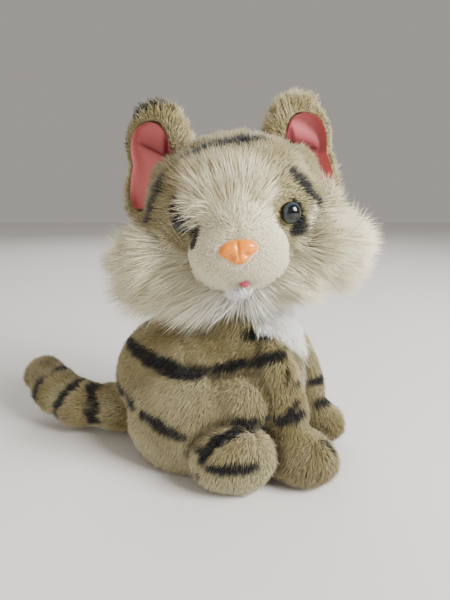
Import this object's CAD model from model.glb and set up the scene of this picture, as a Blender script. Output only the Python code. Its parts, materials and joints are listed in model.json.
"""Looks of a sitting plush kitten: fabric skins with modelled pile, plastic eyes and nose.

Lengths are millimetres and angles degrees until a mesh is made. Left and right are the kitten's own.
The torso frame has its origin on the floor, +X forward and +Y to the kitten's left. The head frame
has its origin at the neck's pivot, the face looks along -Y and +X is the kitten's left.
"""
import json
import math

import bpy
import numpy as np
from mathutils import Vector
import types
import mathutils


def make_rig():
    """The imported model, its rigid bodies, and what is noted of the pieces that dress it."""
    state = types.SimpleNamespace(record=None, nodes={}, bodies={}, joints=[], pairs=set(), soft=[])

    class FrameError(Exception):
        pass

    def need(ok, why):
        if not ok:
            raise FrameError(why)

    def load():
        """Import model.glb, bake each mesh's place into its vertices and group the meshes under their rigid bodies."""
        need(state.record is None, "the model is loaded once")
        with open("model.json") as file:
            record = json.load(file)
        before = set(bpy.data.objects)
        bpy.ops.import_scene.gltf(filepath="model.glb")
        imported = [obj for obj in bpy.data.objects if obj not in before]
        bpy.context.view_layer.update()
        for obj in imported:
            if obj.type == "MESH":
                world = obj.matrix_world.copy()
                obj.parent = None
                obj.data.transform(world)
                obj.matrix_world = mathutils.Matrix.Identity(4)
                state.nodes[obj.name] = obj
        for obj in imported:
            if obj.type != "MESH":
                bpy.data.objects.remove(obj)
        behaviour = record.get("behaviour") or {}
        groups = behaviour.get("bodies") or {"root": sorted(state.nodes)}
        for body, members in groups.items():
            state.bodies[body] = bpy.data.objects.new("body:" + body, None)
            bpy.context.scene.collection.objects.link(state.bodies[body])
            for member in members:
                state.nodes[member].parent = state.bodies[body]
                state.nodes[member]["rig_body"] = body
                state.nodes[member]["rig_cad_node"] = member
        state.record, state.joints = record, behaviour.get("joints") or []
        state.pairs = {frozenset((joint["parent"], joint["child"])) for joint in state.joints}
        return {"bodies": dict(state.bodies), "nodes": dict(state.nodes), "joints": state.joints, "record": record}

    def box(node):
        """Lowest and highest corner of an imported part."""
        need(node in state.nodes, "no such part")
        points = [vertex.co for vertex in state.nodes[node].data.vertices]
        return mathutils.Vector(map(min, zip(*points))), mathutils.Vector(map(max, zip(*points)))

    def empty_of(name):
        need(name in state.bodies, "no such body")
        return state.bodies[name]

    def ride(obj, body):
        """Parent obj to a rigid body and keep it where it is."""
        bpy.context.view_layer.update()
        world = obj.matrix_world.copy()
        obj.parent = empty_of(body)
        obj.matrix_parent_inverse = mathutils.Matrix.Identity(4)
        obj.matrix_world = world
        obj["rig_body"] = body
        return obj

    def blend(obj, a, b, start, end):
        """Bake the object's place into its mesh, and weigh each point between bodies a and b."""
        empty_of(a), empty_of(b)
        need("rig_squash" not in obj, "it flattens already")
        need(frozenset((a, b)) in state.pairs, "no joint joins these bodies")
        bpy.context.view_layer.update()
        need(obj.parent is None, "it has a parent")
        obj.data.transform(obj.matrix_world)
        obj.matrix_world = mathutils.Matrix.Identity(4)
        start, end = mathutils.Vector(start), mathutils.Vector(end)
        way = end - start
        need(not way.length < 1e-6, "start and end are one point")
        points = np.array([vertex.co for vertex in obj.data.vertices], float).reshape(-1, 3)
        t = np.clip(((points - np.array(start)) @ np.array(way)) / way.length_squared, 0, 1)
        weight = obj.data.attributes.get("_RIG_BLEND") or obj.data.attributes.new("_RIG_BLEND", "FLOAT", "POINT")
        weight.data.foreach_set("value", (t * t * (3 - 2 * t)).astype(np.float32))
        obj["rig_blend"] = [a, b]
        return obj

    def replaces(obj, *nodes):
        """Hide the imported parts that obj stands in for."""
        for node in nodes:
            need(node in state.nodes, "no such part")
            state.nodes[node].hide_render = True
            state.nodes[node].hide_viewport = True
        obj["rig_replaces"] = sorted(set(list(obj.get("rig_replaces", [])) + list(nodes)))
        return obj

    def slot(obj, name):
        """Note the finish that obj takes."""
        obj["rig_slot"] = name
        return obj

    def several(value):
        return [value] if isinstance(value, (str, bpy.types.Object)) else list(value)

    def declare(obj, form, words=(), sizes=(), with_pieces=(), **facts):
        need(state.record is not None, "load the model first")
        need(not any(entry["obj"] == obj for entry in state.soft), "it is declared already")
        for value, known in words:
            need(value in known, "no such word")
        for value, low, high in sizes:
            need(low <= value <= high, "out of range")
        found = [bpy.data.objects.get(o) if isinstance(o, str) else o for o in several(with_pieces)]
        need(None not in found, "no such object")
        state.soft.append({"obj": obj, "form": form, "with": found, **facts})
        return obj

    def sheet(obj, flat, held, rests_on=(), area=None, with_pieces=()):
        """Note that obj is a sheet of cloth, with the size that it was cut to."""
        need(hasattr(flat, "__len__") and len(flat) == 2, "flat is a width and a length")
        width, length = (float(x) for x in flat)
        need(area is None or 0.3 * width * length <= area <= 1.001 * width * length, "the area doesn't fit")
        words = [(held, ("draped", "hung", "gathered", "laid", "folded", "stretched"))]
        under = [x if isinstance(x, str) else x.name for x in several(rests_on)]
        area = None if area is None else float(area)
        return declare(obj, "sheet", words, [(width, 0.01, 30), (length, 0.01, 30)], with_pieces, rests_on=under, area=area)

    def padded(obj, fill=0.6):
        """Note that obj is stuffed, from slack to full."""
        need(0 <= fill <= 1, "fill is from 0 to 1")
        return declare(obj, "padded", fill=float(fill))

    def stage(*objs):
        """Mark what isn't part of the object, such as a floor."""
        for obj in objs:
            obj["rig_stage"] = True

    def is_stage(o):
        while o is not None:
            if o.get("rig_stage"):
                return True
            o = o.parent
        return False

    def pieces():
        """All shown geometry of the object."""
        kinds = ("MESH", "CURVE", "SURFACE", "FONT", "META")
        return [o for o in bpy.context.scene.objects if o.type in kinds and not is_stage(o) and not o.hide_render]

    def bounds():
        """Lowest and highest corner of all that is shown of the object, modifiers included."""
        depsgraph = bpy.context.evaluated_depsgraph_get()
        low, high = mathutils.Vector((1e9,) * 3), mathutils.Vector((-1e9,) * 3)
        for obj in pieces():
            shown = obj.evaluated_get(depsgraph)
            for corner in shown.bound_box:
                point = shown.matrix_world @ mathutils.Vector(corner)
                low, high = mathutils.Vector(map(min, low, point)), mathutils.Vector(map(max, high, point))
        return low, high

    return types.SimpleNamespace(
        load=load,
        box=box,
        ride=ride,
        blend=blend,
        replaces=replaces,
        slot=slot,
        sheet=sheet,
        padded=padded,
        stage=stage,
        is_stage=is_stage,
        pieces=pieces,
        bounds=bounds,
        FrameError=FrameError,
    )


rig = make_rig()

MM = 0.001
SIDES = {"left": 1, "right": -1}
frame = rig.load()
cad_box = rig.bounds()


# -------- frames and small maths
def turn_matrix(yaw, pitch, roll):
    """Rotation about Z by yaw, then Y by pitch, then X by roll, as columns of axes."""
    y, p, r = (math.radians(a) for a in (yaw, pitch, roll))
    about_z = np.array([[math.cos(y), -math.sin(y), 0], [math.sin(y), math.cos(y), 0], [0, 0, 1]])
    about_y = np.array([[math.cos(p), 0, math.sin(p)], [0, 1, 0], [-math.sin(p), 0, math.cos(p)]])
    about_x = np.array([[1, 0, 0], [0, math.cos(r), -math.sin(r)], [0, math.sin(r), math.cos(r)]])
    return about_z @ about_y @ about_x


def joint_point(name):
    joint = next(item for item in frame["joints"] if item["name"] == name)
    return np.array(joint["pos_m"]) / MM


NECK = joint_point("neck_turn")
TAIL_BEND = joint_point("tail_tip_curl")
TORSO_TURN = turn_matrix(-22, 0, 0)
HEAD_TURN = turn_matrix(-1.5, -5, 0)


def to_torso(points):
    return points @ TORSO_TURN


def from_torso(points):
    return np.asarray(points, float) @ TORSO_TURN.T


def to_head(points):
    return (points - NECK) @ HEAD_TURN


def from_head(points):
    return np.asarray(points, float) @ HEAD_TURN.T + NECK


def length_of(vectors):
    return np.linalg.norm(vectors, axis=-1)


def unit(vectors):
    return vectors / np.maximum(length_of(vectors), 1e-9)[..., None]


def soft_min(a, b, blend):
    share = np.clip(0.5 + 0.5 * (b - a) / blend, 0, 1)
    return b * (1 - share) + a * share - blend * share * (1 - share)


def soft_max(a, b, blend):
    return -soft_min(-a, -b, blend)


def smooth_step(low, high, value):
    share = np.clip((value - low) / (high - low), 0, 1)
    return share * share * (3 - 2 * share)


def mix(a, b, share):
    share = np.asarray(share)[..., None]
    return a * (1 - share) + b * share


def from_segment(points, start, end):
    """Distance to a straight stretch, and how far along it each point lies as a share."""
    along = end - start
    share = (points - start) @ along / (along @ along)
    gap = points - start - np.clip(share, 0, 1)[..., None] * along
    return length_of(gap), share


def everywhere(value):
    """A function that gives every point the same direction or colour."""
    return lambda points: np.tile(value, (len(points), 1))


def wave_noise(points, scale, seed, terms=7):
    """Smooth noise between about -1 and 1, whose bumps are scale millimetres apart."""
    random = np.random.default_rng(seed)
    total = np.zeros(points.shape[:-1])
    for _ in range(terms):
        wave = unit(random.normal(size=3)) * 2 * math.pi / (scale * random.uniform(0.7, 1.6))
        total += np.sin(points @ wave + random.uniform(0, 2 * math.pi))
    return total / math.sqrt(terms)


# -------- rounded forms
def on_both_sides(axis, lobes):
    """Each lobe on the left, and mirrored on the right. axis is the one across the body."""
    both = {}
    for name, (centre, half, *turn) in lobes.items():
        flipped = tuple(-value if k == axis else value for k, value in enumerate(centre))
        both[f"{name}_left"] = (centre, half, *turn)
        both[f"{name}_right"] = (flipped, half, *((-yaw, *rest) for yaw, *rest in turn))
    return both


# A lobe is its centre, half sizes and, if it has one, turn (yaw, pitch, roll).
TORSO_LOBES = {
    "rump": ((0, 0, 44), (57, 47, 47)),
    "chest": ((44, -1, 55), (31, 35, 42), (0, 8, 0)),
    "collar": ((34, 0, 91), (27, 27, 14)),
    **on_both_sides(1, {
        "haunch": ((9, 38.5, 28), (38, 20, 36), (0, -20, 0)),
        "knee": ((46, 36, 46), (17, 14, 17)),
        "foot": ((47, 51, 19), (25, 15.5, 20), (-15, -12, 0)),
    }),
    "leg_right": ((66, -22, 45), (16, 15, 40), (0, -12, 0)),
    "leg_left": ((67, 19, 45), (17, 15, 40), (0, -16, 0)),
    "paw_right": ((81, -28, 15), (22, 17, 16)),
    "paw_left": ((79, 21, 15), (21, 15, 15)),
}
HEAD_LOBES = {
    "skull": ((0, -1, 56), (54, 47, 45)),
    "muzzle": ((0, -41, 35), (28, 25, 21)),
    "chin": ((-1, -47, 19.5), (10, 9.5, 8)),
    "jaw": ((0, -16, 21), (42, 28, 17)),
    **on_both_sides(0, {
        "cheek": ((43, -14, 34), (18, 16, 20)),
        "ear_fill": ((37, -1, 77), (12, 10, 13)),
    }),
}
SKIN_INSET = 2.0  # the skins lie this far inside the CAD forms, which include some pile


def lobe_field(points, centre, half, turn=(0, 0, 0)):
    """Rough distance in millimetres to an ellipsoid, negative inside."""
    local = (points - np.array(centre, float)) @ turn_matrix(*turn)
    half = np.array(half, float) - SKIN_INSET
    near = length_of(local / half)
    slope = length_of(local / half ** 2)
    return near * (near - 1) / np.maximum(slope, 1e-6)


TORSO_LABELS = ("torso", *(f"{part}_{side}" for part in ("haunch", "hind_foot", "front_leg")
                           for side in SIDES))
HEAD_LABELS = ("head", "muzzle", "cheek_left", "cheek_right", "chin", "jaw")


def torso_fields(points):
    """Distance to each labelled form of the body and the soft union of them all."""
    local = to_torso(points)
    lobe = {name: lobe_field(local, *form) for name, form in TORSO_LOBES.items()}
    trunk = soft_min(soft_min(lobe["rump"], lobe["chest"], 22), lobe["collar"], 10)
    parts = [trunk,
             *(soft_min(lobe[f"haunch_{side}"], lobe[f"knee_{side}"], 8) for side in SIDES),
             *(lobe[f"foot_{side}"] for side in SIDES),
             *(soft_min(lobe[f"leg_{side}"], lobe[f"paw_{side}"], 9) for side in SIDES)]
    whole = parts[0]
    for part, blend in zip(parts[1:], (6, 6, 4, 4, 7, 7)):
        whole = soft_min(whole, part, blend)
    whole = soft_max(whole, 0.4 - local[..., 2], 5)
    return parts, whole


def head_fields(points):
    """Distance to each labelled form of the head and their soft union, sunk in at the eyes."""
    local = to_head(points)
    lobe = {name: lobe_field(local, *form) for name, form in HEAD_LOBES.items()}
    skull = soft_min(lobe["skull"], soft_min(lobe["ear_fill_left"], lobe["ear_fill_right"], 4), 6)
    parts = [skull, lobe["muzzle"], lobe["cheek_left"], lobe["cheek_right"], lobe["chin"], lobe["jaw"]]
    whole = parts[0]
    bridge = smooth_step(42, 54, local[..., 2]) * (1 - smooth_step(12, 22, np.abs(local[..., 0])))
    for part, blend in zip(parts[1:], (4 + 14 * bridge, 14, 14, 3, 8)):
        whole = soft_min(whole, part, blend)
    for side in SIDES.values():
        socket = length_of((local - eye_seat(side)) / np.array([9, 6, 7]))
        whole = whole + 2.2 * np.exp(-socket ** 2)
    return parts, whole


def eye_seat(side):
    """Middle of an eye's flange in the head frame."""
    return np.array([29.5 * side, -39.0, 53.0])


# -------- surface of a field
def surface_net(field, low, high, step):
    """Vertices and quads of the surface where the field is zero, inside a box."""
    axes = [np.arange(a, b + step, step) for a, b in zip(low, high)]
    grid = np.stack(np.meshgrid(*axes, indexing="ij"), -1)
    value = field(grid)
    inside = value < 0
    cells = tuple(n - 1 for n in value.shape)
    total = np.zeros(cells + (3,))
    count = np.zeros(cells)
    number = np.full(cells, -1)
    edges = []
    for axis in range(3):
        start, end = (np.delete(value, outer, axis) for outer in (-1, 0))
        crossed = np.diff(inside, axis=axis)
        share = np.where(crossed, start / np.where(crossed, start - end, 1), 0)
        spot = np.delete(grid, -1, axis) + share[..., None] * step * np.eye(3)[axis]
        others = [k for k in range(3) if k != axis]
        for starts in np.ndindex(2, 2):
            window = [slice(None)] * 3
            for k, offset in zip(others, starts):
                window[k] = slice(offset, offset + cells[k])
            total += np.where(crossed[*window][..., None], spot[*window], 0)
            count += crossed[*window]
        edges.append((axis, others, crossed, start < 0))
    used = count > 0
    number[used] = np.arange(used.sum())
    vertices = total[used] / count[used][:, None]
    quads = []
    for axis, others, crossed, starts_inside in edges:
        index = np.argwhere(crossed)
        for k in others:
            index = index[(index[:, k] > 0) & (index[:, k] < cells[k])]
        corners = []
        for first, second in ((1, 1), (0, 1), (0, 0), (1, 0)):
            cell = index.copy()
            cell[:, others[0]] -= first
            cell[:, others[1]] -= second
            corners.append(number[tuple(cell.T)])
        quad = np.stack(corners, -1)
        outward = starts_inside[tuple(index.T)]
        if axis == 1:
            outward = ~outward
        quads.append(np.where(outward[:, None], quad, quad[:, ::-1]))
    return vertices, np.concatenate(quads)


def slope_of(field, points, step=0.5):
    """Unit outward direction of a field at each point."""
    total = np.zeros_like(points)
    for axis in range(3):
        offset = np.eye(3)[axis] * step
        total[:, axis] = field(points + offset) - field(points - offset)
    return unit(total)


class Skin:
    """One labelled patch of a field's surface, in world millimetres."""

    def __init__(self, vertices, quads, normals):
        used = np.unique(quads)
        renumber = np.full(len(vertices), -1)
        renumber[used] = np.arange(len(used))
        self.vertices = vertices[used]
        self.normals = normals[used]
        self.quads = renumber[quads]


def label_skins(fields, labels, low, high, step):
    """Surface of a labelled field, split into one skin for each label."""
    whole = lambda points: fields(points)[1]
    vertices, quads = surface_net(whole, low, high, step)
    normals = slope_of(whole, vertices)
    vertices = vertices - normals * whole(vertices)[:, None]
    nearest = np.argmin(np.stack(fields(vertices)[0]), 0)
    face_label = np.min(nearest[quads], 1)
    return {label: Skin(vertices, quads[face_label == index], normals)
            for index, label in enumerate(labels)}


# -------- meshes
def add_object(name, data):
    item = bpy.data.objects.new(name, data)
    bpy.context.scene.collection.objects.link(item)
    return item


def new_mesh_object(name, vertices, faces):
    mesh = bpy.data.meshes.new(name)
    mesh.from_pydata((np.asarray(vertices) * MM).tolist(), [], [list(map(int, f)) for f in faces])
    mesh.update()
    mesh.polygons.foreach_set("use_smooth", np.ones(len(mesh.polygons), bool))
    return add_object(name, mesh)


def paint(item, colours):
    """Stores one colour for each vertex, which the pile materials read."""
    layer = item.data.color_attributes.new("pile", "FLOAT_COLOR", "POINT")
    data = np.ones((len(colours), 4), np.float32)
    data[:, :3] = colours
    layer.data.foreach_set("color", data.ravel())


def scatter(skin, density, random):
    """Root points spread evenly over a skin: position, normal."""
    quads = skin.quads
    triangles = np.concatenate([quads[:, [0, 1, 2]], quads[:, [0, 2, 3]]], 1).reshape(-1, 3)
    a, b, c = (skin.vertices[triangles[:, k]] for k in range(3))
    area = np.linalg.norm(np.cross(b - a, c - a), axis=1) / 2
    running = np.cumsum(area)
    amount = int(running[-1] * density)
    target = (np.arange(amount) + random.random(amount)) / amount * running[-1]
    chosen = np.minimum(np.searchsorted(running, target), len(area) - 1)
    u, v = random.random((2, amount))
    over = u + v > 1
    u, v = np.where(over, 1 - u, u), np.where(over, 1 - v, v)
    weights = np.stack([1 - u - v, u, v], -1)[..., None]
    corner = triangles[chosen]
    roots = (skin.vertices[corner] * weights).sum(1)
    normals = unit((skin.normals[corner] * weights).sum(1))
    return roots, normals


def strand_object(name, levels, radii, colours, random):
    """Closed three-sided hairs through the given levels of points, tapering to a tip."""
    count = len(levels[0])
    rings = len(levels) - 1
    along = unit(levels[1] - levels[0])
    across = unit(np.cross(along, unit(random.normal(size=(count, 3)))))
    other = np.cross(along, across)
    per_strand = rings * 3 + 1
    points = np.empty((count, per_strand, 3))
    shades = np.empty((count, per_strand, 3))
    for ring in range(rings):
        for corner in range(3):
            angle = 2 * math.pi * corner / 3
            offset = across * math.cos(angle) + other * math.sin(angle)
            points[:, ring * 3 + corner] = levels[ring] + offset * radii[ring]
            shades[:, ring * 3 + corner] = colours[ring]
    points[:, -1] = levels[-1]
    shades[:, -1] = colours[-1]
    loops = [[0, 2, 1]]
    for ring in range(rings - 1):
        for corner in range(3):
            a, b = ring * 3 + corner, ring * 3 + (corner + 1) % 3
            loops.append([a, b, b + 3, a + 3])
    for corner in range(3):
        base = (rings - 1) * 3
        loops.append([base + corner, base + (corner + 1) % 3, per_strand - 1])
    flat = np.array([corner for loop in loops for corner in loop])
    starts = np.cumsum([0] + [len(loop) for loop in loops[:-1]])
    first = np.arange(count)[:, None]
    mesh = bpy.data.meshes.new(name)
    mesh.vertices.add(count * per_strand)
    mesh.vertices.foreach_set("co", (points * MM).astype(np.float32).ravel())
    mesh.loops.add(count * len(flat))
    mesh.loops.foreach_set("vertex_index", (first * per_strand + flat).astype(np.int32).ravel())
    mesh.polygons.add(count * len(loops))
    mesh.polygons.foreach_set("loop_start", (first * len(flat) + starts).astype(np.int32).ravel())
    mesh.update(calc_edges=True)
    mesh.polygons.foreach_set("use_smooth", np.ones(count * len(loops), bool))
    lay_out_strands(mesh, count, rings, flat)
    item = add_object(name, mesh)
    paint(item, shades.reshape(-1, 3))
    return item


def lay_out_strands(mesh, count, rings, flat):
    """One small cell of texture for each hair, so that its colours can be baked."""
    columns = int(math.ceil(math.sqrt(count)))
    cell = np.stack(np.divmod(np.arange(count), columns)[::-1], -1)
    corner = np.arange(rings * 3 + 1)
    across = np.where(corner == rings * 3, 0.5, 0.15 + 0.35 * (corner % 3))
    up = 0.12 + 0.76 * (corner // 3) / rings
    place = np.stack([across, up], -1)[flat]
    spots = (cell[:, None, :] + place[None]) / columns
    layer = mesh.uv_layers.new(name="OFBake")
    layer.data.foreach_set("uv", spots.astype(np.float32).ravel())


# -------- colours
def rgb(red, green, blue):
    """Linear colour from the 0 to 255 values of a paint card."""
    value = np.array([red, green, blue]) / 255
    return np.where(value <= 0.04045, value / 12.92, ((value + 0.055) / 1.055) ** 2.4)


TAN = rgb(163, 150, 103)
TAN_LIGHT = rgb(211, 201, 162)
TAN_BROWN = rgb(140, 124, 88)
CREAM = rgb(250, 244, 216)
BEIGE = rgb(200, 186, 146)
WHITE = rgb(250, 251, 248)
BLACK = rgb(26, 24, 23)
PINK = rgb(212, 122, 124)
PINK_DEEP = rgb(104, 38, 44)


def band_mask(points, bands, seed):
    """1 inside the airbrushed bands and 0 outside, with soft uneven edges.

    A band is a run of points (x, y, z, half width)."""
    mask = np.zeros(points.shape[:-1])
    wobble = wave_noise(points, 8, seed) * 0.5 + wave_noise(points, 2.5, seed + 1) * 0.3
    for band in bands:
        places = np.array(band, float)
        for start, end in zip(places[:-1], places[1:]):
            reach, share = from_segment(points, start[:3], end[:3])
            width = 1.15 * (start[3] + np.clip(share, 0, 1) * (end[3] - start[3])) + 0.4
            mask = np.maximum(mask, 1 - smooth_step(width - 1.0, width + 1.1, reach + wobble))
    return mask


def mirrored(bands, axis):
    """The same bands on the other side of the middle plane."""
    flip = np.ones(4)
    flip[axis] = -1
    return [np.array(band) * flip for band in bands]


def arch(axis, *half):
    """A band that runs from one side over the middle to the other, given from the middle out."""
    return np.concatenate([mirrored([half[1:]], axis)[0][::-1], half])


# Bands in the torso frame: on the right flank, then what the left flank and the back have.
RIGHT_BANDS = [
    [(28, -38, 82, 2.2), (38, -35, 84, 3), (48, -31, 86, 3.6), (58, -24, 87, 3)],
    [(-45, -22, 70, 3.4), (-27, -37, 69, 3.8), (-10, -44, 66, 4.4), (6, -47, 64, 4.4),
     (22, -46, 64, 4), (38, -41, 68, 3.6), (55, -37, 72, 3.4), (72, -29, 77, 2.6)],
    [(-50, -24, 38, 2.6), (-38, -40, 37, 3), (-21, -52, 37, 2.6)],
    [(-11, -57, 36, 2.4), (4, -61, 32, 3.2), (16, -62, 28, 3.2), (31, -66, 27, 2.4)],
    [(33, -68, 22, 2.6), (38, -64, 33, 3.4), (46, -59, 37, 3.6), (54, -45, 38, 3.2), (61, -39, 41, 2.8)],
    [(38, -70, 18, 2.2), (52, -67, 20, 3), (63, -61, 21, 2.4)],
    [(12, -62, 10, 2), (28, -67, 9, 2.4)],
    [(69, -40, 38, 3), (78, -37, 40, 3.8), (86, -28, 39, 3.6)],
    [(75, -38, 43, 2), (82, -31, 50, 1.8)],
    [(74, -36, 60, 1.8), (75, -32, 67, 1.6)],
    [(80, -30, 58, 2.2), (84, -22, 60, 2.8)],
    [(72, -22, 79, 2), (76, -9, 81, 2)],
    [(96, -24, 30, 2.4), (103, -29, 22, 2.4)],
]
LEFT_BANDS = mirrored(RIGHT_BANDS[1:8], 1) + [
    [(80, 30, 58, 1.8), (86, 20, 59, 2.4), (84, 8, 58, 2)],
    [(84, 7, 30, 2.2), (91, 16, 31, 2.8), (90, 26, 29, 2.2)],
    [(80, 6, 46, 2.2), (86, 14, 45, 2.6), (84, 25, 45, 2.2)],
]
BACK_BANDS = [
    arch(1, (-54, 0, 69, 3.8), (-45, 22, 70, 3.4)),
    arch(1, (-38, 0, 86, 3.8), (-30, 30, 84, 3)),
    arch(1, (-12, 0, 95, 3.6), (-4, 32, 88, 2.4)),
    arch(1, (-60, 0, 46, 3.4), (-56, 14, 42, 2.4)),
]
# Bands in the head frame.
HEAD_BANDS = [
    [(-22, -26, 92, 3), (-9, -27, 95, 3.6), (4, -26, 96, 3.8), (18, -20, 97, 3)],
    arch(0, (0, 6, 104, 3.6), (26, 8, 98, 2.8)),
    arch(0, (0, 43, 88, 3.4), (20, 38, 87, 3.2), (40, 22, 84, 2.6)),
    arch(0, (0, 50, 62, 3.4), (28, 42, 62, 3.4), (50, 18, 60, 2.4)),
    arch(0, (0, 46, 36, 3), (26, 40, 36, 3), (48, 20, 36, 2.2)),
    [(35, -33, 76, 2.6), (43, -29, 66, 3.4), (52, -23, 54, 3)],
    [(-43, -24, 78, 3.2), (-49, -21, 66, 4.4), (-53, -16, 52, 3.6)],
]
EYE_PATCHES = [
    [(34, -39, 60, 1.6), (38, -36, 53, 3.2), (37, -36, 45, 4.6), (32, -41, 41, 3.4)],
    [(-31, -39, 69, 2.8), (-34, -37, 60, 4), (-32, -38, 52, 3.4)],
    [(-27, -42.5, 54, 3.4), (-25.5, -45, 47, 4.8), (-23.5, -48, 41.5, 3.4)],
]


def bib_share(local):
    """1 in the white bib, which narrows to a point low on the chest, in the torso frame."""
    x, y, z = np.moveaxis(local, -1, 0)
    half_width = np.clip((z - 73) * 0.95, 0, 24)
    across = np.abs(y + 3) - half_width
    return (1 - smooth_step(-2, 2, across)) * smooth_step(44, 52, x)


def body_colour(points, label):
    local = to_torso(points)
    cloud = 0.5 + 0.5 * wave_noise(local, 24, 3)
    colour = mix(TAN, TAN_LIGHT, 0.45 * cloud)
    if label.startswith(("hind_foot", "haunch")):
        colour = mix(colour, TAN_LIGHT, 0.35 + 0.45 * smooth_step(30, 8, local[..., 2]))
    if label.startswith("front_leg"):
        low = 1 - smooth_step(6, 34, local[..., 2])
        colour = mix(colour, TAN_BROWN, 0.55 * low)
    fields, _ = torso_fields(points)
    first, second = np.sort(np.stack(fields), 0)[:2]
    crease = np.exp(-((second - first) / 2.4) ** 2)
    colour = mix(colour, TAN_BROWN * 0.45, (0.35 + 0.4 * smooth_step(-10, 20, local[..., 0])) * crease)
    side_glow = np.exp(-((local[..., 0] - 4) / 20) ** 2 - ((local[..., 2] - 44) / 12) ** 2)
    colour = mix(colour, TAN_LIGHT, 0.5 * side_glow)
    colour = mix(colour, BLACK, band_mask(local, RIGHT_BANDS + LEFT_BANDS + BACK_BANDS, 11))
    return mix(colour, WHITE, bib_share(local) if label == "torso" else np.zeros(len(points)))


def face_share(local):
    """1 on the cream forehead between the eyes, in the head frame."""
    x, y, z = np.moveaxis(local, -1, 0)
    half_width = np.where(x < -4, 23, 18)
    reach = np.sqrt(((x + 4) / half_width) ** 2 + ((z - 54) / 24) ** 2)
    return (1 - smooth_step(0.8, 1.1, reach)) * (1 - smooth_step(-24, -14, y))


def ruff_share(local):
    """1 where the long cheek and jaw hair grows, in the head frame."""
    x, y, z = np.moveaxis(local, -1, 0)
    top = 30 + np.where(x > 0, 25, 16) * smooth_step(32, 48, np.abs(x))
    return (1 - smooth_step(0, 7, z - top)) * (1 - smooth_step(4, 18, y))


def head_colour(points, label):
    local = to_head(points)
    z = local[..., 2]
    cloud = 0.5 + 0.5 * wave_noise(local, 20, 5)
    colour = mix(TAN, TAN_LIGHT, 0.5 * cloud)
    height = z + 4 * wave_noise(local, 12, 6)
    cream = mix(mix(CREAM, BEIGE, smooth_step(58, 70, height)), TAN_LIGHT, smooth_step(68, 80, height))
    colour = mix(colour, cream, face_share(local))
    colour = mix(colour, mix(CREAM, BEIGE, 0.35 * cloud), ruff_share(local))
    if label == "muzzle":
        colour = mix(CREAM, BEIGE, 0.2 * smooth_step(40, 54, z))
        colour = mix(colour, BLACK, band_mask(local, EYE_PATCHES[2:], 31))
        lips = length_of((local - MOUTH) / np.array([6, 6, 2.2]))
        return mix(colour, rgb(128, 92, 80), 0.6 * np.exp(-lips ** 2))
    if label == "chin":
        return np.tile(WHITE, (len(points), 1))
    if label == "jaw" or label.startswith("cheek"):
        cheek = mix(CREAM, BEIGE, 0.3 * cloud + 0.4 * smooth_step(40, 54, z))
        beard = np.exp(-(local[..., 0] / 13) ** 2) * smooth_step(30, 22, z)
        cheek = mix(cheek, WHITE, 0.8 * beard)
        cheek = mix(cheek, mix(TAN, TAN_LIGHT, 0.4 * cloud), smooth_step(8, 22, local[..., 1]))
        return mix(cheek, BLACK, band_mask(local, EYE_PATCHES, 31))
    colour = mix(colour, BLACK, band_mask(local, HEAD_BANDS, 21))
    return mix(colour, BLACK, band_mask(local, EYE_PATCHES, 31))


# -------- materials
def principled(name, **values):
    """A new material and its shader, with the shader's sockets set."""
    material = bpy.data.materials.new(name)
    material.use_nodes = True
    shader = material.node_tree.nodes["Principled BSDF"]
    set_sockets(shader, **values)
    return material, shader


def set_sockets(node, **values):
    """Sets a node's sockets, whose names are written here with _ for a space."""
    for socket, value in values.items():
        node.inputs[socket.replace("_", " ")].default_value = value


def new_node(material, kind, **values):
    node = material.node_tree.nodes.new("ShaderNode" + kind)
    set_sockets(node, **values)
    return node


def wire(material, *joins):
    """Joins nodes, each join given as the node and socket it comes from and those it goes to."""
    for source, outlet, target, inlet in joins:
        material.node_tree.links.new(source.outputs[outlet], target.inputs[inlet])


def pile_material(name, roughness, sheen, specular=0.25):
    """Pile or backing cloth that takes its colour from the mesh, with a fine mottle."""
    material, shader = principled(name, Roughness=roughness, Sheen_Weight=sheen,
                                  Sheen_Roughness=0.4, Specular_IOR_Level=specular)
    colour = new_node(material, "Attribute")
    colour.attribute_name = "pile"
    noise = new_node(material, "TexNoise", Scale=260)
    vary = new_node(material, "MapRange", To_Min=0.88, To_Max=1.12)
    scale = new_node(material, "VectorMath")
    scale.operation = "SCALE"
    wire(material, (noise, "Fac", vary, "Value"), (colour, "Color", scale, 0),
         (vary, "Result", scale, "Scale"), (scale, "Vector", shader, "Base Color"))
    return material


def add_grain(material, scale, depth, roughness):
    """A fine uneven surface, depth metres deep, and the same unevenness in the roughness."""
    shader = material.node_tree.nodes["Principled BSDF"]
    noise = new_node(material, "TexNoise", Scale=scale, Detail=3)
    bump = new_node(material, "Bump", Strength=0.5, Distance=depth)
    vary = new_node(material, "MapRange", To_Min=roughness * 0.8,
                    To_Max=min(roughness * 1.25, 1.0))
    wire(material, (noise, "Fac", bump, "Height"), (bump, "Normal", shader, "Normal"),
         (noise, "Fac", vary, "Value"), (vary, "Result", shader, "Roughness"))


def solid_material(name, colour, roughness, grain, depth, coat=0.0, sheen=0.0, glow=0.0):
    """Moulded plastic or felt: a faint cloud in the colour over a fine grain."""
    material, shader = principled(
        name, Coat_Weight=coat, Coat_Roughness=0.05, Sheen_Weight=sheen,
        Subsurface_Weight=glow, Subsurface_Radius=(0.004, 0.002, 0.001))
    cloud = new_node(material, "TexNoise", Scale=grain / 4)
    blend = new_node(material, "Mix")
    blend.data_type = "RGBA"
    set_sockets(blend, A=(*(colour * 0.86), 1), B=(*np.minimum(colour * 1.14, 1), 1))
    wire(material, (cloud, "Fac", blend, "Factor"), (blend, "Result", shader, "Base Color"))
    add_grain(material, grain, depth, roughness)
    return material


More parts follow.
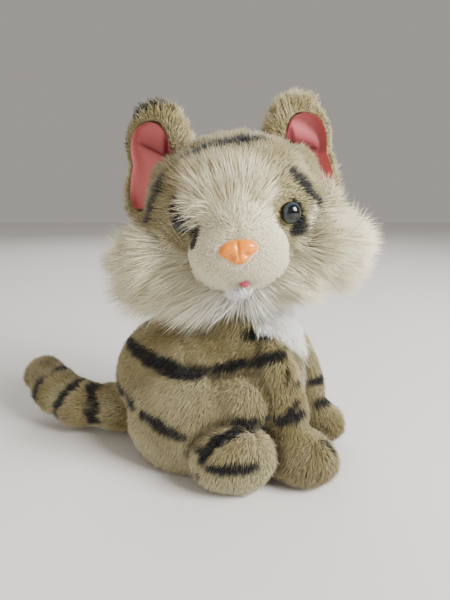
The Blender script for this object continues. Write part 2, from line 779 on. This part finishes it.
PILE = pile_material("pile_strands", 0.6, 0.2)
BACKING = pile_material("pile_backing", 0.9, 0.0)
LINING = pile_material("ear_lining_knit", 0.9, 0.06, 0.2)  # brushed knit with a fine nap
add_grain(LINING, 1600, 0.00025, 0.9)


# -------- pile
def grow_pile(name, skin, spec, colour_of, comb_of, seed, slot, mount):
    """Hairs on a skin, as one or more pieces small enough to keep whole.

    comb_of gives the way the pile is brushed. mount ties each piece to its body."""
    random = np.random.default_rng(seed)
    roots, normals = scatter(skin, spec["density"], random)
    clear = roots[:, 2] > 2.5
    if "keep" in spec:
        clear &= spec["keep"](roots) > random.random(len(roots))
    roots, normals = roots[clear], normals[clear]
    comb = comb_of(roots)
    comb = unit(comb - normals * (comb * normals).sum(1, keepdims=True))
    tuft = np.stack([wave_noise(roots, spec["tuft"], seed + k) for k in (1, 2, 3)], -1)
    tuft = tuft * spec["ruffle"] + random.normal(size=roots.shape) * spec["stray"]
    length = spec["length"](roots) if callable(spec["length"]) else spec["length"]
    length = (length * random.uniform(0.7, 1.1, len(roots)))[:, None]
    steps = spec["steps"]
    levels = [roots - normals * 0.4]
    place = roots
    for step in range(1, steps + 1):
        share = step / steps
        lift = spec["stand"] * (1 - 0.5 * share)
        heading = unit(normals * lift + comb * (1 - lift * 0.5) + tuft * (0.3 + 0.7 * share)
                       + np.array([0, 0, -spec["droop"]]) * share)
        place = place + heading * length / steps
        place[:, 2] = np.maximum(place[:, 2], 0.5)
        levels.append(place)
    base = colour_of(levels[-1] if spec["tint_at_tip"] else roots)
    tone = random.normal(1, 0.06, (len(roots), 1))
    low, high = spec["shades"]
    colours = [base * tone * (low + (high - low) * k / steps) for k in range(steps + 1)]
    radii = [spec["radius"] * (1 - 0.5 * k / steps) for k in range(steps)]
    share_of = np.array_split(np.argsort(roots @ np.array([1.0, 0.35, 0.2])),
                              math.ceil(len(roots) / spec["most"]))
    for index, chosen in enumerate(share_of):
        title = name if len(share_of) == 1 else f"{name}_{index + 1}"
        item = strand_object(title, [level[chosen] for level in levels], radii,
                             [colour[chosen] for colour in colours], random)
        item.data.materials.append(PILE)
        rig.slot(item, slot)
        mount(item)


SHORT = dict(density=2.3, length=6.6, stand=0.7, steps=2, tuft=9, ruffle=0.15, stray=0.13,
             droop=0.12, radius=0.2, shades=(0.62, 1.12), tint_at_tip=True, most=17000)
VELVET = dict(SHORT, density=4.4, stand=1.0, radius=0.19, ruffle=0.08, stray=0.1, tuft=5,
              shades=(0.92, 1.08))
LONG = dict(density=3.0, length=24.0, stand=0.6, steps=3, tuft=10, ruffle=0.22, stray=0.14,
            droop=0.26, radius=0.2, shades=(0.82, 1.05), tint_at_tip=False, most=11000)


def add_backing(name, skin, colour_of, fill, slot, *nodes):
    """The cloth under the pile, which stands for the CAD nodes of that piece."""
    item = new_mesh_object(name, skin.vertices, skin.quads)
    depth = 0.85 if slot == "white_long_pile" else 0.6
    paint(item, colour_of(skin.vertices + skin.normals * 4) * depth)
    item.data.materials.append(BACKING)
    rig.slot(item, slot)
    if fill is not None:
        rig.padded(item, fill)
    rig.replaces(item, *nodes)
    return item


def cover(name, skin, spec, colour_of, comb_of, seed, mount, fill, *nodes):
    """Striped cloth and its pile, which stand for the given CAD nodes."""
    mount(add_backing(f"{name}_fabric", skin, colour_of, fill, "striped_pile", *nodes))
    grow_pile(f"{name}_pile", skin, spec, colour_of, comb_of, seed, "striped_pile", mount)


def riding(body):
    """A mount for pieces that move with one body."""
    return lambda item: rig.ride(item, body)


def finish_piece(item, material, slot, body, node):
    """Gives a piece its material and slot, its body and the CAD node that it stands for."""
    item.data.materials.append(material)
    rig.slot(item, slot)
    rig.ride(item, body)
    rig.replaces(item, node)


# -------- body
BODY_NODES = {"torso": ("torso_left_panel", "torso_right_panel", "belly_panel", "chest_bib",
                        "base_panel", "torso_stuffing")}
body_comb = everywhere(from_torso([-0.35, 0, -1.0]))
bib_comb = everywhere([0.1, -0.1, -1.0])


def make_body():
    skins = label_skins(torso_fields, TORSO_LABELS, (-70, -80, -4), (110, 75, 108), 2.0)
    for index, (label, skin) in enumerate(skins.items()):
        colour = lambda points: body_colour(points, label)
        nodes = BODY_NODES.get(label, (f"{label}_cover", f"{label}_stuffing"))
        cover(label, skin, SHORT, colour, body_comb, 100 + 10 * index, riding("torso"), 0.75, *nodes)
    bib = dict(LONG, length=13.0, stand=0.5, radius=0.24, density=3.6, shades=(0.92, 1.1),
               keep=lambda points: bib_share(to_torso(points)))
    grow_pile("chest_bib_pile", skins["torso"], bib, lambda points: body_colour(points, "torso"),
              bib_comb, 190, "white_long_pile", riding("torso"))


# -------- head
NOSE_BRIDGE = np.array([0, -54, 44])
RUFF_MIDDLE = np.array([0, -12, 33])
MOUTH = np.array([1.4, -57, 18.5])
HEAD_NODES = {
    "head": ("head_left_panel", "head_right_panel", "face_panel", "head_stuffing"),
    "muzzle": ("muzzle_cover", "muzzle_stuffing"),
    "chin": ("chin_tuft",),
    "cheek_left": ("cheek_ruff_left",),
    "cheek_right": ("cheek_ruff_right",),
    "jaw": (),
}


def head_comb(points):
    return unit(to_head(points) - NOSE_BRIDGE) @ HEAD_TURN.T


def brow_lock_share(points):
    """1 where the loose hair grows that falls across the right eye."""
    x, _, z = to_head(points).T
    return smooth_step(-26, -22, x) * (1 - smooth_step(-12, -8, x)) * smooth_step(50, 53, z) \
        * (1 - smooth_step(62, 66, z))


lock_comb = everywhere(from_head([-1, 0.1, -0.12]) - NECK)


def ruff_comb(points):
    heading = to_head(points) - RUFF_MIDDLE
    heading[:, 1] = -6
    return unit(heading) @ HEAD_TURN.T


EYE_CLEARANCE = 6.6


def clear_of_fittings(points, right_reach=EYE_CLEARANCE):
    """0 over the eyes and the nose, 1 a little away from them.

    right_reach is how far the right eye is kept clear, which the forehead hair partly covers."""
    local = to_head(points)
    share = smooth_step(0.3, 1.0, nose_field(local))
    for side, clear in ((-1, right_reach), (1, EYE_CLEARANCE)):
        reach = length_of(local - eye_seat(side))
        share = share * smooth_step(clear, clear + 2.4, reach)
    return share


def clear_of_ears(points):
    """0 where the ears lie against the head, 1 elsewhere."""
    share = np.ones(len(points))
    for side in SIDES.values():
        x, y, z = ear_frame(side)[1](points).T
        beside = np.maximum(np.hypot(x / 18, z / 24), np.abs(y - 1) / 10)
        share = share * smooth_step(0.85, 1.0, beside)
    return share


def head_length(points):
    """Short pile that gets shorter still round the eyes, and a mere nap where the ears lie."""
    local = to_head(points)
    near = np.minimum(*(length_of(local - eye_seat(side)) for side in SIDES.values()))
    return (3.0 + 5.0 * smooth_step(7, 20, near)) * (0.2 + 0.8 * clear_of_ears(points))


def ruff_length(points):
    """Long at the sides and the front, short under the head where it meets the neck."""
    local = to_head(points)
    outward = np.hypot(local[:, 0] / 1.15, local[:, 1] + 4)
    rise = 1 - 0.35 * smooth_step(38, 50, local[:, 2])
    low = 1 + 0.55 * smooth_step(24, 10, local[:, 2]) * smooth_step(12, -8, local[:, 0])
    patches = 1 - 0.85 * band_mask(local, EYE_PATCHES, 31)
    return (8 + 21 * smooth_step(20, 40, outward)) * rise * low * patches


def forehead_share(points):
    """Share of long hair on the forehead: none on the eyes or on the black patches beside them."""
    local = to_head(points)
    patches = band_mask(local, EYE_PATCHES, 31)
    return clear_of_fittings(points, 2.5) * face_share(local) * (1 - patches)


def muzzle_length(points):
    """Velvet, longer at the bridge where it runs into the forehead hair."""
    return 2.2 + 6.0 * smooth_step(45, 55, to_head(points)[:, 2])


def face_length(points):
    """Longest high on the forehead, and shorter over the right eye."""
    x, _, z = to_head(points).T
    right = 1 - 0.4 * smooth_step(-12, -20, x) * smooth_step(72, 62, z)
    return (9 + 13 * smooth_step(46, 62, z) - 14 * smooth_step(68, 82, z)) * right


def make_head():
    skins = label_skins(head_fields, HEAD_LABELS, (-40, -95, 100), (102, 50, 215), 2.0)
    colour_for = {label: (lambda points, label=label: head_colour(points, label)) for label in skins}
    for label, skin in skins.items():
        slot = {"muzzle": "cream_pile", "head": "striped_pile"}.get(label, "white_long_pile")
        backing = add_backing(f"{label}_fabric", skin, colour_for[label], 0.8, slot, *HEAD_NODES[label])
        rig.ride(backing, "head")
    mount = riding("head")

    def grow(name, label, spec, comb, seed, slot="white_long_pile", colour=None):
        grow_pile(name, skins[label], spec, colour_for[colour or label], comb, seed, slot, mount)

    bare = lambda points: clear_of_fittings(points) \
        * (1 - 0.9 * ruff_share(to_head(points)) * clear_of_ears(points))
    below_ears = lambda points: clear_of_fittings(points) * clear_of_ears(points) \
        * ruff_share(to_head(points))
    forehead = dict(LONG, length=face_length, stand=0.42, density=3.4, droop=0.1, ruffle=0.2,
                    radius=0.18, shades=(0.9, 1.1), keep=forehead_share)
    lock = dict(forehead, length=16.0, stand=0.8, density=0.4, keep=brow_lock_share, most=6000)
    ruff = dict(LONG, length=ruff_length, density=3.2)
    grow("head_pile", "head", dict(SHORT, length=head_length, keep=bare), head_comb, 300,
         "striped_pile")
    grow("forehead_pile", "head", forehead, head_comb, 320, "cream_pile")
    grow("brow_lock_pile", "head", lock, lock_comb, 330, "cream_pile")
    grow("muzzle_pile", "muzzle", dict(VELVET, length=muzzle_length, keep=clear_of_fittings),
         head_comb, 340, "cream_pile")
    grow("throat_pile", "head", dict(ruff, density=2.0, keep=below_ears), ruff_comb, 360,
         colour="jaw")
    for seed, label in ((380, "cheek_left"), (390, "cheek_right"), (400, "jaw")):
        grow(f"{label}_pile", label, ruff, ruff_comb, seed)
    grow("chin_pile", "chin", dict(LONG, length=5.5, stand=0.9, density=5.0, shades=(0.9, 1.08)),
         ruff_comb, 410)


def make_neck():
    """The stuffed neck between the head and the shoulders."""
    ball = lambda points: length_of(points - NECK) - 20
    vertices, quads = surface_net(ball, NECK - 24, NECK + 24, 2.5)
    skin = Skin(vertices, quads, slope_of(ball, vertices))
    cover("neck", skin, dict(SHORT, density=1.0, length=6.0), everywhere(mix(CREAM, TAN, 0.8)),
          body_comb, 430, riding("head"), 0.7, "neck_plug")


def make_thread():
    """The gathering thread, sunk in the pile round the neck."""
    low, high = (np.array(corner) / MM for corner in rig.box("neck_gather_thread"))
    middle = (low + high) / 2
    across = (high - low)[0] / 2 - 4

    def ring(points):
        x, y, z = np.moveaxis(points - middle, -1, 0)
        return np.hypot(np.hypot(x, y) - across, z) - 0.7

    vertices, quads = surface_net(ring, middle - across - 3, middle + across + 3, 0.5)
    item = new_mesh_object("neck_thread_loop", vertices, quads)
    thread = solid_material("thread", rgb(190, 178, 140), 0.8, 2400, 0.0002)
    finish_piece(item, thread, "sewing_thread", "neck", "neck_gather_thread")


# -------- ears
EAR_SEAT = {1: np.array([43, 9, 91]), -1: np.array([-46, 8, 94])}
EAR_KNEE = -2  # below this height the ear leans
EAR_LEAN = np.array([0.62, -0.3, -0.5])  # outward, forward and down, for each mm below


def ear_frame(side):
    """Ways from the ear's own frame to the world and back.

    +X is out to the side on both ears, -Y out of the bowl and +Z to the tip. The lower half of the
    ear is drawn out and leans outward and forward, down the side of the head."""
    turn = turn_matrix(30 * side, 8 * side, 0)
    seat = EAR_SEAT[side]
    flip = np.array([side, 1, 1])

    def outward(local):
        below = np.maximum(EAR_KNEE - np.asarray(local)[..., 2:], 0)
        return from_head((local + below * EAR_LEAN) * flip @ turn.T + seat)

    def inward(world):
        bent = (to_head(world) - seat) @ turn * flip
        below = np.maximum(EAR_KNEE - bent[..., 2:], 0) / (1 - EAR_LEAN[2])
        return bent - below * EAR_LEAN

    return outward, inward


EAR_MIDDLE = np.array([0.8, 0, 0])
EAR_HALF = np.array([21, 11, 25.5])
BOWL_MIDDLE = np.array([1.6, 0, -1])
BOWL_HALF = np.array([15.9, 6.8, 20.6])
SQUARENESS = 2.4  # 2 is an oval
FOLD_SLOPE = {1: -0.1, -1: 0.75}  # how steeply the lining's fold runs across
LOBE_SHADE = {1: 0.32, -1: 0.06}  # how much darker the cloth is above the fold


def squarish(across, along):
    """Reach from the middle of a shape that is squarish seen from the front."""
    return (np.abs(across) ** SQUARENESS + np.abs(along) ** SQUARENESS) ** (1 / SQUARENESS)


def bowl_field(local):
    """Distance to the open bowl of the ear."""
    place = (local - BOWL_MIDDLE) / BOWL_HALF
    front = squarish(place[..., 0], place[..., 2])
    return (np.hypot(front, np.maximum(place[..., 1], 0)) - 1) * 9


def ear_field(local):
    """Distance to the ear's shell: a rounded form less its bowl, cut off flat in front."""
    place = (local - EAR_MIDDLE) / EAR_HALF
    outer = (np.hypot(squarish(place[..., 0], place[..., 2]), place[..., 1]) - 1) * 12
    shell = soft_max(outer, -bowl_field(local), 2)
    return soft_max(shell, -5.0 - local[..., 1], 3)


EAR_BANDS = {
    1: [[(18, -2, 16, 1.6), (24, 0, 13, 2.2), (26, 5, 10, 1.8)]],
    -1: [[(19, 0, 20, 2), (13, 0, 28, 2.6), (4, -3, 33, 2.8), (-8, 0, 32, 3), (-17, 2, 26, 2.4)],
         [(22, -2, 12, 2.2), (22, 2, 20, 2.6)]],
}


def ear_comb(local):
    """The ear's pile is brushed outward all round and towards the tip."""
    return unit(local * [1, 0, 1] + [0, 6, 8])


def ear_length(local):
    """Short beside the lining, long round the rim but for the upper outer side."""
    rim = smooth_step(0, 3.5, bowl_field(local))
    bare = smooth_step(4, 13, local[:, 0]) * smooth_step(-9, 1, local[:, 2])
    return 2.6 + rim * (9.0 - 6.0 * bare)


def make_ears():
    for name, side in SIDES.items():
        outward, inward = ear_frame(side)
        vertices, quads = surface_net(ear_field, (-22, -12, -30), (24, 14, 31), 1.6)
        normals = slope_of(ear_field, vertices)
        tips = outward(vertices + normals) - outward(vertices)
        skin = Skin(outward(vertices), quads if side > 0 else quads[:, ::-1], unit(tips))
        bands = EAR_BANDS[side]
        colour = lambda points: mix(mix(TAN, TAN_LIGHT, 0.35 + 0.3 * wave_noise(points, 14, 8)), BLACK,
                                    band_mask(inward(points), bands, 41))
        comb = lambda points: outward(inward(points) + ear_comb(inward(points))) - points
        length = lambda points: ear_length(inward(points))
        spec = dict(SHORT, density=2.6, stand=0.62, steps=3, tuft=5, ruffle=0.24, droop=0,
                    radius=0.22, most=11000, length=length,
                    keep=lambda points: smooth_step(0.2, 0.8, bowl_field(inward(points))))
        cover(f"ear_{name}", skin, spec, colour, comb, 500 + 20 * side, riding(f"ear_{name}"), None,
              f"ear_{name}_back")
        make_lining(name, side, outward)


def ring_faces(rings, spokes):
    """Triangles round point 0, then quads from each ring of points to the next."""
    faces = [[0, 1 + k, 1 + (k + 1) % spokes] for k in range(spokes)]
    for ring in range(rings - 1):
        a = 1 + ring * spokes
        faces += [[a + k, a + spokes + k, a + spokes + (k + 1) % spokes, a + (k + 1) % spokes]
                  for k in range(spokes)]
    return faces


def make_lining(name, side, outward):
    """Pink cloth that lines the ear's bowl up to its edge, with the fold where the ear bends forward.

    Rings run out from the middle of the bowl, and the last few climb its wall."""
    rings, spokes = 34, 76
    foot_of_wall = 0.82
    reach = np.linspace(0, 1, rings + 1)[1:, None]
    share = np.minimum(reach / foot_of_wall, 1)
    climb = np.maximum(reach - foot_of_wall, 0) / (1 - foot_of_wall)
    angle = np.linspace(0, 2 * math.pi, spokes, endpoint=False)[None]
    square = 0.965 / squarish(np.sin(angle), np.cos(angle))
    x = BOWL_MIDDLE[0] + BOWL_HALF[0] * share * np.sin(angle) * square
    z = BOWL_MIDDLE[2] + BOWL_HALF[2] * share * np.cos(angle) * square
    above = z - 0.5 - FOLD_SLOPE[side] * x
    inner = 1 - share ** 5
    lobe = 4.2 * np.exp(-((above - 4) / 8) ** 2) * smooth_step(-1.4, 1.4, above) * inner
    pleat = np.exp(-((x + 7.5) / 1.9) ** 2) * smooth_step(-14, -6, z) * smooth_step(15, 8, z) * inner
    y = (5.2 + 1.6 * pleat) * np.sqrt(1 - share ** 2) - 0.6 - 4.2 * climb - lobe
    points = np.stack(np.broadcast_arrays(x, y, z), -1).reshape(-1, 3)
    points = np.concatenate([[[BOWL_MIDDLE[0], 4.6, BOWL_MIDDLE[2]]], points])
    faces = ring_faces(rings, spokes)
    if side < 0:
        faces = [face[::-1] for face in faces]
    item = new_mesh_object(f"ear_{name}_lining_cloth", outward(points), faces)
    crease = np.exp(-np.abs(above) / np.where(above > 0, 7, 2.2)) * inner
    shade = np.append(0, (crease + 0.9 * pleat + LOBE_SHADE[side] * (above > 0)).ravel())
    paint(item, mix(PINK, PINK_DEEP, np.clip(shade, 0, 1)))
    area = sum(face.area for face in item.data.polygons)
    finish_piece(item, LINING, "pink_cloth", f"ear_{name}", f"ear_{name}_lining")
    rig.sheet(item, (0.044, 0.066), "stretched", rests_on=[f"ear_{name}_fabric"], area=area)


# -------- face fittings
def lathe(profile, segments):
    """Vertices and faces of a solid turned about Z. The profile runs from its top to its back."""
    angle = np.linspace(0, 2 * math.pi, segments, endpoint=False)
    rings = [np.stack([r * np.cos(angle), r * np.sin(angle), np.full(segments, z)], -1)
             for r, z in profile[1:-1]]
    points = np.concatenate([[[0, 0, profile[0][1]]], *rings, [[0, 0, profile[-1][1]]]])
    faces = ring_faces(len(rings), segments)
    a = 1 + (len(rings) - 1) * segments
    last = len(points) - 1
    faces += [[a + k, last, a + (k + 1) % segments] for k in range(segments)]
    return points, faces


def make_eyes():
    pupil = solid_material("eye_black", rgb(14, 14, 16), 0.07, 300, 0.00001, coat=0.2)
    iris = solid_material("eye_iris", rgb(44, 58, 68), 0.15, 1200, 0.00001, coat=0.2)
    sphere, height, rim, back = 6.21, 4.6, 6.0, -0.4
    dome = [(sphere * math.sin(a), height - sphere + sphere * math.cos(a))
            for a in np.linspace(0, math.radians(74), 22)]
    points, faces = lathe(dome + [(rim, back), (0, back)], 56)
    iris_from, iris_to = 4.3, 5.4
    for name, side in SIDES.items():
        turn = turn_matrix(24 * side, 0, 90)
        item = new_mesh_object(f"eye_{name}_dome", from_head(points @ turn.T + eye_seat(side)), faces)
        finish_piece(item, pupil, "eye_plastic", "head", f"eye_{name}")
        item.data.materials.append(iris)
        for face, corners in zip(item.data.polygons, faces):
            reach = np.hypot(*points[corners].mean(0)[:2])
            face.material_index = int(iris_from < reach < iris_to)


NOSE_SEAT = np.array([0, -61.5, 37])
NOSE_TURN = turn_matrix(0, -4, 0)


def nose_field(local):
    """Moulded nose: two lobes above a smaller one, with a groove and two nostril dimples."""
    place = (local - NOSE_SEAT) @ NOSE_TURN
    x, z = place[..., 0], place[..., 2]
    wing_half = np.array([5.8, 4.8, 3.9]) + SKIN_INSET
    point_half = np.array([5.4, 4.8, 4.4]) + SKIN_INSET
    lobes = [lobe_field(place, (side * 4.2, 0, 1.8), wing_half, (0, 16 * side, 0))
             for side in (-1, 1)]
    point = lobe_field(place, (0, -0.2, -2.2), point_half)
    body = soft_min(soft_min(*lobes, 4), point, 3.6)
    front = smooth_step(-0.5, -3.5, place[..., 1])
    groove = 0.9 * np.exp(-(x / 0.9) ** 2) * smooth_step(-6.5, -1, z)
    dimples = sum(np.exp(-(((x - 3.5 * side) / 1.7) ** 2 + ((z + 1.7) / 1.3) ** 2))
                  for side in (-1, 1))
    return body + front * (0.8 * groove + 1.2 * dimples)


def make_nose():
    field = lambda points: nose_field(to_head(points))
    centre = from_head([0, -63, 37])
    vertices, quads = surface_net(field, centre - 12, centre + 12, 0.5)
    normals = slope_of(field, vertices, 0.2)
    item = new_mesh_object("nose_moulding", vertices - normals * field(vertices)[:, None], quads)
    plastic = solid_material("nose_orange", rgb(248, 138, 14), 0.3, 420, 0.00006, coat=0.5, glow=0.1)
    finish_piece(item, plastic, "nose_plastic", "head", "nose")


def finish_washers():
    """The push-on washers inside the head keep their CAD shape and get a moulded finish."""
    moulded = solid_material("washer_moulding", rgb(226, 226, 220), 0.5, 500, 0.00004)
    for name in ("eye_left_washer", "eye_right_washer", "nose_washer"):
        frame["nodes"][name].material_slots[0].material = moulded


def make_tongue():
    """A small felt tongue that peeps out between the muzzle and the chin."""
    tongue = (MOUTH + [0.4, 0.0, 2.0], (4.8, 3.5, 4.6), (0, 14, -20))
    shape = lambda points: lobe_field(to_head(points), *tongue)
    centre = from_head(MOUTH)
    vertices, quads = surface_net(shape, centre - 9, centre + 9, 0.5)
    item = new_mesh_object("tongue_felt_tip", vertices, quads)
    felt = solid_material("tongue_pink", rgb(176, 58, 84), 0.85, 1400, 0.0003, sheen=0.2)
    finish_piece(item, felt, "tongue_felt", "head", "tongue")


# -------- tail
TAIL_LINE = [np.array(point, float) for point in
             ((-46, 2, 19), (-56, 3, 19), (-86, 7, 20), (-104, 16, 25), (-118, 29, 32))]
TAIL_BANDS = ((27, 0.2, 4.4), (49, -0.2, 3.8), (66, 0.15, 3.4))


def along_tail(points):
    """Distance from the tail's centreline, distance along it and its direction at each point."""
    reach = np.full(points.shape[:-1], np.inf)
    run = np.zeros(points.shape[:-1])
    heading = np.zeros(points.shape)
    start_run = 0.0
    for start, end in zip(TAIL_LINE[:-1], TAIL_LINE[1:]):
        span = np.linalg.norm(end - start)
        gap, share = from_segment(points, start, end)
        nearer = gap < reach
        reach = np.where(nearer, gap, reach)
        last = 1.6 if end is TAIL_LINE[-1] else 1
        run = np.where(nearer, start_run + np.clip(share, 0, last) * span, run)
        heading = np.where(nearer[..., None], (end - start) / span, heading)
        start_run += span
    return reach, run, heading


def tail_field(points):
    reach = np.inf
    for start, end in zip(TAIL_LINE[:-1], TAIL_LINE[1:]):
        gap = from_segment(points, start, end)[0]
        reach = soft_min(reach, gap, 8) if start is not TAIL_LINE[0] else gap
    return soft_max(reach - 12.6, 0.6 - points[..., 2], 3)


def tail_colour(points):
    reach, run, _ = along_tail(points)
    cloud = 0.5 + 0.5 * wave_noise(points, 18, 51)
    colour = mix(TAN, TAN_LIGHT, 0.5 * cloud)
    wobble = wave_noise(points, 7, 52) * 1.0 + wave_noise(points, 3, 53) * 0.5
    mask = np.zeros(len(points))
    for place, slant, half in TAIL_BANDS:
        offset = np.abs(run - place - slant * (points[:, 2] - 20) + wobble)
        gap = smooth_step(-3, 3, wave_noise(points, 22, int(place)) * 6 + 5)
        mask = np.maximum(mask, (1 - smooth_step(half - 1, half + 1.1, offset)) * gap)
    return mix(colour, BLACK, mask)


def make_tail():
    vertices, quads = surface_net(tail_field, (-136, -16, -2), (-30, 48, 50), 2.0)
    skin = Skin(vertices, quads, slope_of(tail_field, vertices))
    along = unit(TAIL_LINE[3] - TAIL_LINE[1])
    start, end = (TAIL_BEND - along * 13) * MM, (TAIL_BEND + along * 13) * MM
    bend = lambda item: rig.blend(item, "tail", "tail_tip", start, end)
    comb = lambda points: along_tail(points)[2]
    cover("tail", skin, dict(SHORT, length=6.5), tail_colour, comb, 600, bend, 0.7,
          "tail_base_cover", "tail_base_stuffing", "tail_tip_cover", "tail_tip_stuffing")


# -------- stage
def make_stage():
    bpy.ops.mesh.primitive_plane_add(size=6, location=(0, 0, -0.0002))
    floor = bpy.context.object
    floor.name = "floor"
    material = principled("floor_paint", Base_Color=(0.78, 0.77, 0.75, 1), Roughness=0.8)[0]
    floor.data.materials.append(material)
    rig.stage(floor)


def area_light(name, place, aim, power, size, colour=(1, 1, 1)):
    data = bpy.data.lights.new(name, "AREA")
    data.energy = power
    data.size = size
    data.color = colour
    lamp = add_object(name, data)
    lamp.location = place
    heading = np.array(aim) - np.array(place)
    lamp.rotation_euler = Vector(heading).to_track_quat("-Z", "Y").to_euler()


def make_light():
    area_light("window", (1.0, -0.6, 0.85), (0, 0, 0.1), 46, 0.7, (1, 0.985, 0.95))
    area_light("fill", (-0.9, -1.0, 0.6), (0, 0, 0.1), 6, 1.2, (1, 0.88, 0.72))
    area_light("back", (-0.2, 1.1, 1.1), (0, 0, 0.1), 9, 1.0)
    world = bpy.data.worlds.new("studio")
    bpy.context.scene.world = world
    world.use_nodes = True
    set_sockets(world.node_tree.nodes["Background"], Color=(0.93, 0.88, 0.81, 1), Strength=0.4)


def make_camera():
    data = bpy.data.cameras.new("camera")
    data.lens = 27.06
    data.clip_start = 0.01
    camera = add_object("camera", data)
    camera.location = (0.020, -0.298, 0.164)
    camera.rotation_euler = (math.radians(90 - 12.5), 0, 0)
    bpy.context.scene.camera = camera


make_camera()
make_body()
make_neck()
make_thread()
make_head()
make_ears()
make_eyes()
make_nose()
finish_washers()
make_tongue()
make_tail()
make_stage()
make_light()
with open("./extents.json", "w") as handle:
    json.dump({"cad": np.array(cad_box).tolist(), "visual": np.array(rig.bounds()).tolist()}, handle)
